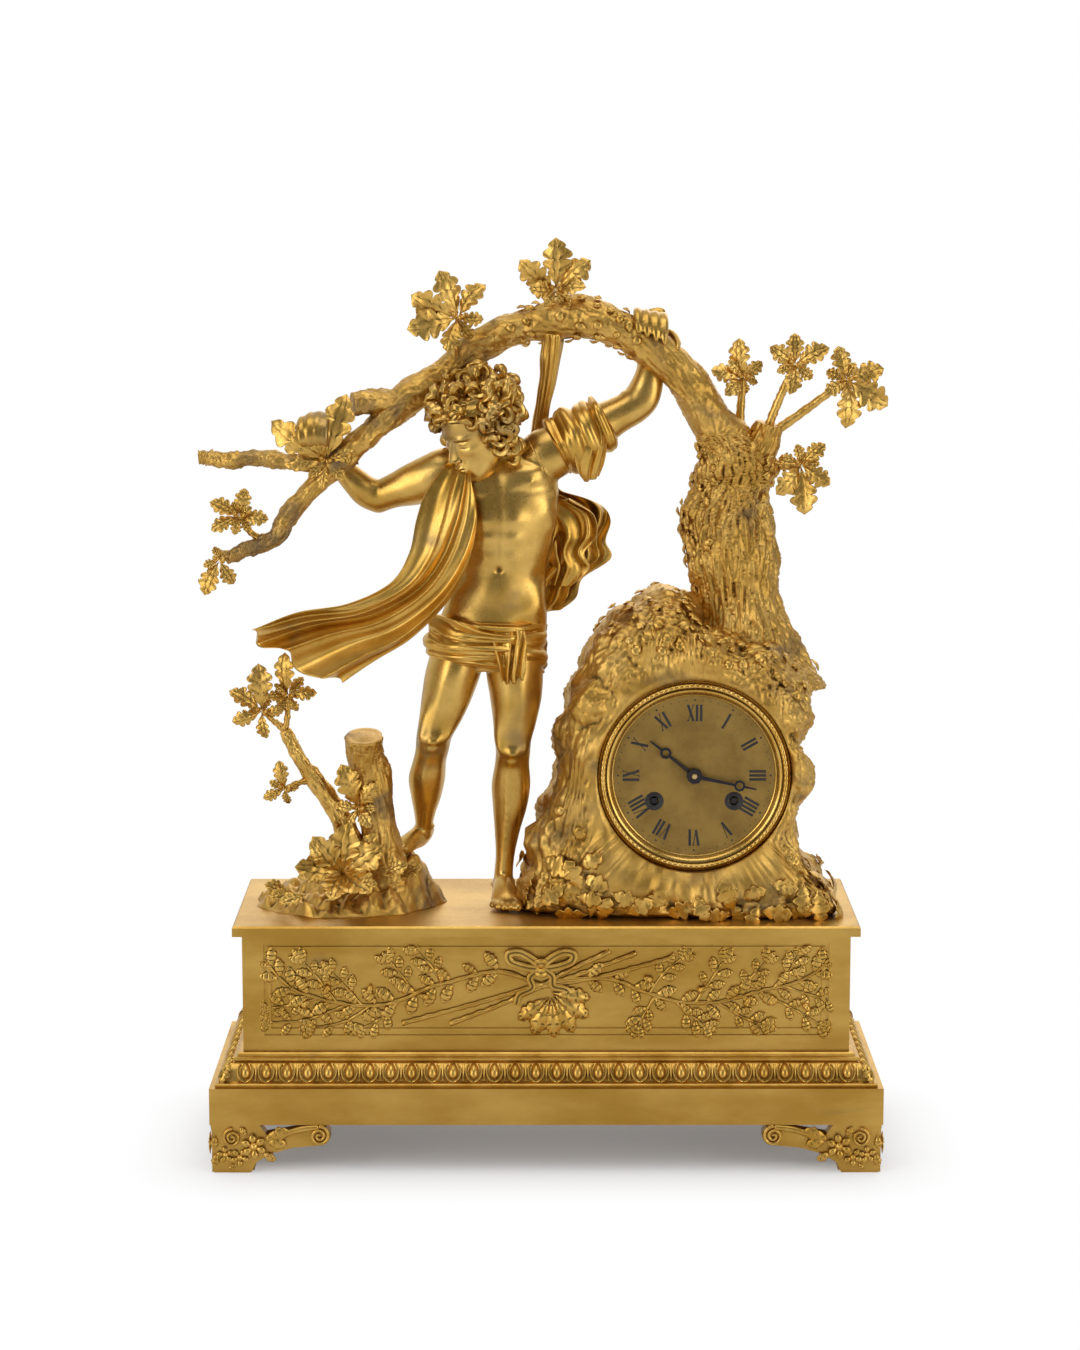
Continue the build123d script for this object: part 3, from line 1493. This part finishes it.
# Strike train: the count wheel's arbor passes the back plate and carries the notched locking disc
count_disc_radius = 10.0
count_disc_y = plates_back + disc_gap
notch_count = 8
count_wheel = train_wheel(
    count_place,
    (wheel_teeth, train_module, bearing(count_place, pin_place), front_level, wheel_thickness),
    (
        barrel_pinion_teeth,
        barrel_module,
        gap_toward(barrel_pinion_teeth, bearing(count_place, strike_barrel_place)),
        great_wheel_y + pinion_lap,
        great_wheel_thickness + 2 * pinion_lap,
    ),
)
notch_depth = 1.2
with BuildPart() as locking_disc:
    with BuildSketch(facing(count_disc_y, *count_place)):
        notched = []
        notch_floor = count_disc_radius - notch_depth
        corners = ((count_disc_radius, 0), (count_disc_radius, 0.7), (notch_floor, 0.85))
        for k in range(notch_count):
            for reach, shift in corners:
                turn = k + shift
                angle = 2 * math.pi * turn / notch_count
                notched.append((reach * math.cos(angle), reach * math.sin(angle)))
        Polygon(*notched, align=None)
    extrude(amount=wheel_thickness)
    with BuildSketch(facing(count_disc_y, *count_place)):
        shaft(arbor_radius)
    extrude(amount=count_disc_y - plates_back)
with BuildPart() as count_wheel_arbor:
    add(count_wheel.part)
    add(locking_disc.part)
count_wheel_arbor.part.label = "count_wheel"
export_step(count_wheel_arbor.part, "parts/count_wheel.step")

pin_count = 8
pin_length = 2.4
pin_radius = 0.6
pin_wheel = train_wheel(
    pin_place,
    (wheel_teeth, upper_module, bearing(pin_place, fly_place), pin_level, wheel_thickness),
    (
        train_pinion_teeth,
        train_module,
        gap_toward(train_pinion_teeth, bearing(pin_place, count_place)),
        front_level + pinion_lap,
        pinion_length,
    ),
)
with BuildPart() as pin_wheel_with_pins:
    add(pin_wheel.part)
    with BuildSketch(facing(pin_level + pin_length, *pin_place)):
        with PolarLocations(0.36 * wheel_teeth * upper_module, pin_count):
            RegularPolygon(pin_radius, 4)
    extrude(amount=pin_length)
pin_wheel_with_pins.part.label = "pin_wheel"
export_step(pin_wheel_with_pins.part, "parts/pin_wheel.step")

fly_reach = 6.5
fly_length = 10.0
fly_y = back_plate_y - fly_gap
with BuildPart() as fly:
    with BuildSketch(facing(plates_back, *fly_place)):
        shaft(arbor_radius)
    extrude(amount=plates_back - plates_front)
    with BuildSketch(facing(pin_level + pinion_lap, *fly_place)):
        fly_mesh_angle = gap_toward(train_pinion_teeth, bearing(fly_place, pin_place))
        teeth(train_pinion_teeth, upper_module, fly_mesh_angle)
    extrude(amount=pinion_length)
    with BuildSketch(facing(fly_y, *fly_place)):
        Rectangle(2 * fly_reach, wheel_thickness)
    extrude(amount=fly_length)
fly.part.label = "fly"
export_step(fly.part, "parts/fly.step")

# Centre wheel: its arbor runs through both plates and the dial, and carries the cannon pinion
hand_level = dial_seat_y - dial_thickness - hand_gap
minute_level = hand_level - hand_thickness - hand_gap
arbor_tip = minute_level - hand_thickness - tip_rise
motion_level = front_plate_y - motion_gap
with BuildPart() as centre_wheel:
    with BuildSketch(facing(plates_back)):
        shaft(centre_radius)
    extrude(amount=plates_back - arbor_tip)
    with BuildSketch(facing(front_level + pinion_lap)):
        teeth(train_pinion_teeth, train_module, gap_toward(train_pinion_teeth, bearing(centre, second_place)))
    extrude(amount=pinion_length)
    with BuildSketch(facing(rear_level)):
        teeth(wheel_teeth, train_module, bearing(centre, third_place))
    extrude(amount=wheel_thickness)
    with BuildSketch(facing(plates_front - seat_gap)):
        shaft(cannon_radius)
    extrude(amount=plates_front - seat_gap - minute_level + hand_thickness)
    with BuildSketch(facing(motion_level)):
        teeth(cannon_teeth, motion_module, bearing(centre, minute_place))
    extrude(amount=wheel_thickness)
centre_wheel.part.label = "centre_wheel"
export_step(centre_wheel.part, "parts/centre_wheel.step")

# Motion work: the minute wheel on its stud, and the hour wheel on the cannon
minute_pinion_level = motion_level - wheel_thickness
hour_wheel_level = minute_pinion_level - work_gap
with BuildPart() as minute_wheel:
    with BuildSketch(facing(motion_level, *minute_place)):
        minute_mesh_angle = gap_toward(minute_wheel_teeth, bearing(minute_place, centre))
        teeth(minute_wheel_teeth, motion_module, minute_mesh_angle)
    extrude(amount=wheel_thickness)
    with BuildSketch(facing(minute_pinion_level, *minute_place)):
        teeth(minute_pinion_teeth, hour_module, bearing(minute_place, centre))
    extrude(amount=wheel_thickness + 2 * seat_gap)
    with BuildSketch(facing(front_plate_y, *minute_place)):
        shaft_hole(arbor_radius, Mode.ADD)
    extrude(amount=motion_room, mode=Mode.SUBTRACT)
minute_wheel.part.label = "minute_wheel"
export_step(minute_wheel.part, "parts/minute_wheel.step")

with BuildPart() as hour_wheel:
    with BuildSketch(facing(hour_wheel_level)):
        teeth(minute_wheel_teeth, hour_module, gap_toward(minute_wheel_teeth, bearing(centre, minute_place)))
    extrude(amount=wheel_thickness)
    with BuildSketch(facing(hour_wheel_level)):
        RegularPolygon(pipe_radius, round_sides // 2)
    extrude(amount=hour_wheel_level - hand_level + hand_thickness)
    with BuildSketch(facing(front_plate_y)):
        shaft_hole(cannon_radius, Mode.ADD)
    extrude(amount=front_plate_y - minute_level, mode=Mode.SUBTRACT)
hour_wheel.part.label = "hour_wheel"
export_step(hour_wheel.part, "parts/hour_wheel.step")


# Hands: a boss, a tapering bar and a pierced ring near the tip
def hand_outline(length, ring_place, hole, hole_sides):
    """A hand that points along its plane's X axis."""
    tip = 0.35 * hand_width
    Polygon(
        (0, -hand_width / 2),
        (length - tip, -tip / 2),
        (length, 0),
        (length - tip, tip / 2),
        (0, hand_width / 2),
        align=None,
    )
    RegularPolygon(hand_boss_radius, round_sides // 2)
    with Locations((ring_place, 0)):
        RegularPolygon(hand_ring_radius, round_sides // 2)
        RegularPolygon(hand_ring_eye, round_sides // 2, mode=Mode.SUBTRACT)
    RegularPolygon(hole, hole_sides, major_radius=False, mode=Mode.SUBTRACT)


def clock_plane(y, angle):
    """A plane at y whose X axis points at a clock angle, turned from twelve."""
    turn = math.radians(90 - angle)
    return Plane(origin=(dial_x, y, dial_z), x_dir=(math.cos(turn), 0, math.sin(turn)), z_dir=(0, -1, 0))


with BuildPart() as hour_hand:
    with BuildSketch(clock_plane(hand_level, hour_hand_angle)):
        hand_outline(hour_hand_length, hour_ring_place, pipe_radius, round_sides // 2)
    extrude(amount=hand_thickness)
hour_hand.part.label = "hour_hand"
export_step(hour_hand.part, "parts/hour_hand.step")

with BuildPart() as minute_hand:
    with BuildSketch(clock_plane(minute_level, minute_hand_angle)):
        hand_outline(minute_hand_length, minute_ring_place, cannon_radius, shaft_sides)
    extrude(amount=hand_thickness)
minute_hand.part.label = "minute_hand"
export_step(minute_hand.part, "parts/minute_hand.step")

# Anchor and crutch: the pallets stand clear of the escape wheel's tips, and the crutch's fork holds the rod
escape_tip = escape_module * (escape_teeth / 2 + addendum_share)
pallet_gap = 0.5
anchor_shares = (
    (0, 0.30),
    (0.27, 0.22),
    (0.95, -0.14),
    (1.20, -0.70),
    (0.86, -0.80),
    (0.68, -0.34),
    (0, -0.08),
)
anchor_thickness = 2.4
crutch_length = 30.0
crutch_width = 2.0
fork_half = 2.5
rod_half = 1.2
crutch_level = plates_back + crutch_gap
with BuildPart() as anchor:
    with BuildSketch(facing(plates_back + arbor_end, *pallet_place)):
        shaft(arbor_radius)
    extrude(amount=plates_back + arbor_end - plates_front)
    with BuildSketch(facing(escape_level + pallet_lap, *pallet_place)):
        right_half = [(u * escape_tip, v * escape_tip) for u, v in anchor_shares]
        left_half = [(-u, v) for u, v in reversed(right_half[1:-1])]
        Polygon(*right_half, *left_half, align=None)
        with Locations((0, -pallet_arbor_rise)):
            RegularPolygon(escape_tip + pallet_gap, face_sides, major_radius=False, mode=Mode.SUBTRACT)
    extrude(amount=anchor_thickness)
    with BuildSketch(facing(crutch_level + wheel_thickness, *pallet_place)):
        with Locations((0, -crutch_length / 2)):
            Rectangle(crutch_width, crutch_length + crutch_width)
        with Locations((0, -crutch_length)):
            Rectangle(2 * fork_half + crutch_width, crutch_width)
    extrude(amount=wheel_thickness)
    with BuildSketch(facing(pendulum_y + rod_half + 2 * air_gap, *pallet_place)):
        with Locations((-fork_half, -crutch_length), (fork_half, -crutch_length)):
            Rectangle(crutch_width, crutch_width)
    extrude(amount=pendulum_y + rod_half + 2 * air_gap - crutch_level)
anchor.part.label = "anchor_and_crutch"
export_step(anchor.part, "parts/anchor_and_crutch.step")

# Pendulum: a flat rod from its hook down to a lens-shaped bob
with BuildPart() as pendulum:
    with BuildSketch(facing(pendulum_y + rod_half, *pallet_place)):
        with Locations((0, -pendulum_length / 2)):
            Rectangle(2 * rod_half, pendulum_length)
        RegularPolygon(3 * rod_half, 8)
        RegularPolygon(rod_half + seat_gap, 8, mode=Mode.SUBTRACT)
    extrude(amount=2 * rod_half)
    bob_rings = []
    for level, share in ((-0.5, 0.55), (0.0, 1.0), (0.5, 0.55)):
        place = (dial_x, pendulum_y + level * bob_thickness, dial_z + pallet_place[1] - pendulum_length)
        bob_rings.append(ring(place, (0, 1, 0), share * bob_radius, share * bob_radius, round_sides))
    add(casting(bob_rings))
pendulum.part.label = "pendulum"
export_step(pendulum.part, "parts/pendulum.step")

# Suspension cock on the back plate, whose stud carries the pendulum's hook
cock_width = 8.0
with BuildPart() as suspension_cock:
    with BuildSketch(facing(plates_back, 0, pallet_place[1] + 3.2 * rod_half + cock_width / 2)):
        Rectangle(cock_width, cock_width)
    extrude(amount=-(pendulum_y + 2 * rod_half - plates_back))
    with BuildSketch(facing(pendulum_y + 2 * rod_half + wheel_thickness, *pallet_place)):
        with Locations((0, 2 * rod_half)):
            Rectangle(2 * rod_half, 6 * rod_half)
    extrude(amount=wheel_thickness)
    with BuildSketch(facing(pendulum_y + 2 * rod_half, *pallet_place)):
        RegularPolygon(rod_half, 8)
    extrude(amount=3 * rod_half)
suspension_cock.part.label = "suspension_cock"
export_step(suspension_cock.part, "parts/suspension_cock.step")

# Bell on its stand, open towards the back plate
bell_place = (-bell_side, -bell_drop)
bell_shoulder = 0.93 * bell_radius
bell_crown = 0.62 * bell_radius
bell_profile = (
    (bell_radius, bell_y),
    (bell_shoulder, bell_y + 0.45 * bell_depth),
    (bell_crown, bell_y + bell_depth),
    (bell_hole, bell_y + bell_depth),
    (bell_hole, bell_y + bell_depth - bell_wall),
    (bell_crown - bell_wall / 2, bell_y + bell_depth - bell_wall),
    (bell_shoulder - bell_wall, bell_y + 0.45 * bell_depth),
    (bell_radius - bell_wall, bell_y),
)
with BuildPart() as bell:
    add(turned(bell_profile, (dial_x + bell_place[0], dial_z + bell_place[1]), round_sides))
bell.part.label = "bell"
export_step(bell.part, "parts/bell.step")

with BuildPart() as bell_stand:
    with BuildSketch(facing(bell_y + bell_depth + bell_nut, *bell_place)):
        shaft(bell_hole - 2 * running_gap)
    extrude(amount=bell_y + bell_depth + bell_nut - plates_back)
    with BuildSketch(facing(bell_y + bell_depth + bell_nut, *bell_place)):
        RegularPolygon(2 * bell_hole, 8)
    extrude(amount=bell_nut)
    with BuildSketch(facing(bell_y + bell_depth - bell_wall, *bell_place)):
        RegularPolygon(1.6 * bell_hole, 8)
    extrude(amount=bell_nut)
bell_stand.part.label = "bell_stand"
export_step(bell_stand.part, "parts/bell_stand.step")

# Hammer: its arbor runs in the back plate, and its head stands beside the bell's rim
hammer_angle = math.radians(hammer_bearing)
hammer_reach = bell_radius + hammer_gap + hammer_radius
head_place = (
    bell_place[0] + hammer_reach * math.cos(hammer_angle),
    bell_place[1] + hammer_reach * math.sin(hammer_angle),
)
hammer_level = plates_back + hammer_rise
hammer_head_length = 6.0
with BuildPart() as hammer:
    with BuildSketch(facing(hammer_level, *hammer_place)):
        shaft(arbor_radius)
    extrude(amount=hammer_level - back_plate_y)
    arm_turn = bearing(hammer_place, head_place)
    arm_length = math.dist(hammer_place, head_place)
    arm_plane = Plane(
        origin=(dial_x + hammer_place[0], hammer_level, dial_z + hammer_place[1]),
        x_dir=(math.cos(math.radians(arm_turn)), 0, math.sin(math.radians(arm_turn))),
        z_dir=(0, -1, 0),
    )
    with BuildSketch(arm_plane):
        with Locations((arm_length / 2, 0)):
            Rectangle(arm_length + 2 * hammer_gap, 2 * hammer_gap)
    extrude(amount=wheel_thickness)
    with BuildSketch(facing(bell_y + hammer_head_length, *head_place)):
        RegularPolygon(hammer_radius, round_sides // 2)
    extrude(amount=bell_y + hammer_head_length - hammer_level + wheel_thickness)
hammer.part.label = "hammer"
export_step(hammer.part, "parts/hammer.step")

# Case straps: two strips in the bore that tie the dial's seat to the rear bezel
strap_width = 8.0
strap_thickness = 1.0
strap_radius = plate_radius + air_gap
with BuildPart() as case_straps:
    with BuildSketch(facing(rear_seat_y)):
        with Locations((strap_radius + strap_thickness / 2, 0), (-strap_radius - strap_thickness / 2, 0)):
            Rectangle(strap_thickness, strap_width)
    extrude(amount=rear_seat_y - dial_seat_y)
case_straps.part.label = "case_straps"
export_step(case_straps.part, "parts/case_straps.step")

# Rear bezel with the hinge's lug, and the door that closes the drum
hinge_x = -rear_radius - knuckle_radius + rear_thickness
hinge_y = rear_seat_y + rear_thickness + knuckle_radius
hinge_third = hinge_length / 3
with BuildPart() as rear_bezel:
    with BuildSketch(facing(rear_seat_y)):
        RegularPolygon(rear_radius, plate_sides)
        RegularPolygon(rear_opening, plate_sides, mode=Mode.SUBTRACT)
    extrude(amount=-rear_thickness)
    for lift in (-hinge_third, hinge_third):
        middle = (dial_x + hinge_x, hinge_y, dial_z + lift)
        with BuildSketch(Plane(origin=middle, x_dir=(1, 0, 0), z_dir=(0, 0, 1))):
            RegularPolygon(knuckle_radius, round_sides // 2)
            with Locations((0, -knuckle_radius / 2)):
                Rectangle(2 * knuckle_radius, knuckle_radius)
        extrude(amount=hinge_third / 2, both=True)
    with BuildSketch(Plane(origin=(dial_x + hinge_x, hinge_y, dial_z), z_dir=(0, 0, 1))):
        shaft(hinge_pin_radius)
    extrude(amount=hinge_length / 2, both=True)
rear_bezel.part.label = "rear_bezel"
export_step(rear_bezel.part, "parts/rear_bezel.step")

door_radius = rear_radius - rear_thickness - air_gap
door_seat_y = rear_seat_y + rear_thickness + seat_gap
with BuildPart() as rear_door:
    with BuildSketch(facing(door_seat_y)):
        RegularPolygon(door_radius, plate_sides)
        with Locations((hinge_x / 2, 0)):
            Rectangle(-hinge_x, hinge_third - 2 * seat_gap)
    extrude(amount=-door_thickness)
    with BuildSketch(Plane(origin=(dial_x + hinge_x, hinge_y, dial_z), x_dir=(1, 0, 0), z_dir=(0, 0, 1))):
        RegularPolygon(knuckle_radius, round_sides // 2)
    extrude(amount=hinge_third / 2 - seat_gap, both=True)
    with BuildSketch(Plane(origin=(dial_x + hinge_x, hinge_y, dial_z), x_dir=(1, 0, 0), z_dir=(0, 0, 1))):
        shaft_hole(hinge_pin_radius, Mode.ADD)
    extrude(amount=hinge_length, both=True, mode=Mode.SUBTRACT)
    with BuildSketch(facing(door_seat_y + door_thickness, 0.8 * door_radius)):
        RegularPolygon(knuckle_radius, 8)
    extrude(amount=-knuckle_radius)
rear_door.part.label = "rear_door"
export_step(rear_door.part, "parts/rear_door.step")
